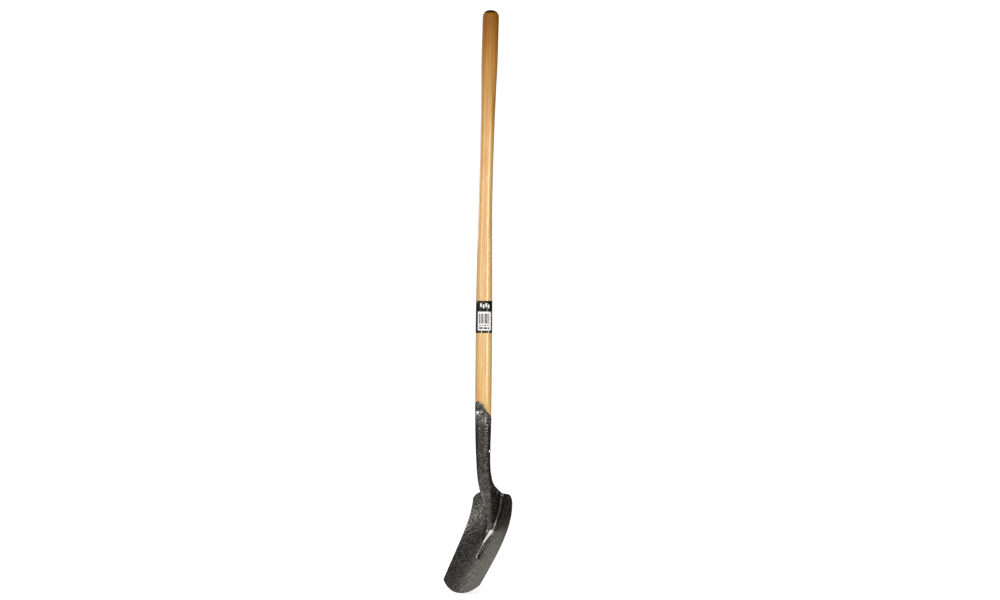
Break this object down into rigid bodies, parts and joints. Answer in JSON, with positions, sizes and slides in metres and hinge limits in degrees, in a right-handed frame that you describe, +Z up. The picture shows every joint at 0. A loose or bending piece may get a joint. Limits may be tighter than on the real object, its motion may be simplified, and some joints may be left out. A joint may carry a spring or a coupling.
{
  "type": "post hole digging shovel",
  "caption": "Long-handled post hole shovel: bowed wooden handle, cranked steel socket and a long dished blade that curls forwards for lifting soil out of a deep narrow hole.",
  "frame": {"origin": "on the axis of the grip, inside its cylindrical stretch at the top of the handle, 51 mm below its upper end", "axes": "+Z up along the socket and the straight lower handle, blade at the bottom; +Y towards the back of the tool; the dished face of the blade looks towards -Y; X is across the blade, which is symmetric about X = 0"},
  "size_m": [0.1436, 0.134, 1.4224],
  "materials": {
    "varnished_wood": "clear gloss varnish, darker towards the grip end",
    "hammered_paint": "dark grey hammered paint, glossy",
    "rivet_steel": "bright steel, left unpainted",
    "label_film": "black printed film with a white panel"
  },
  "bodies": {
    "root": {"handle": "varnished_wood", "head": "hammered_paint", "tongue_rivet": "rivet_steel", "cross_rivet": "rivet_steel", "label": "label_film"}
  },
  "joints": []
}
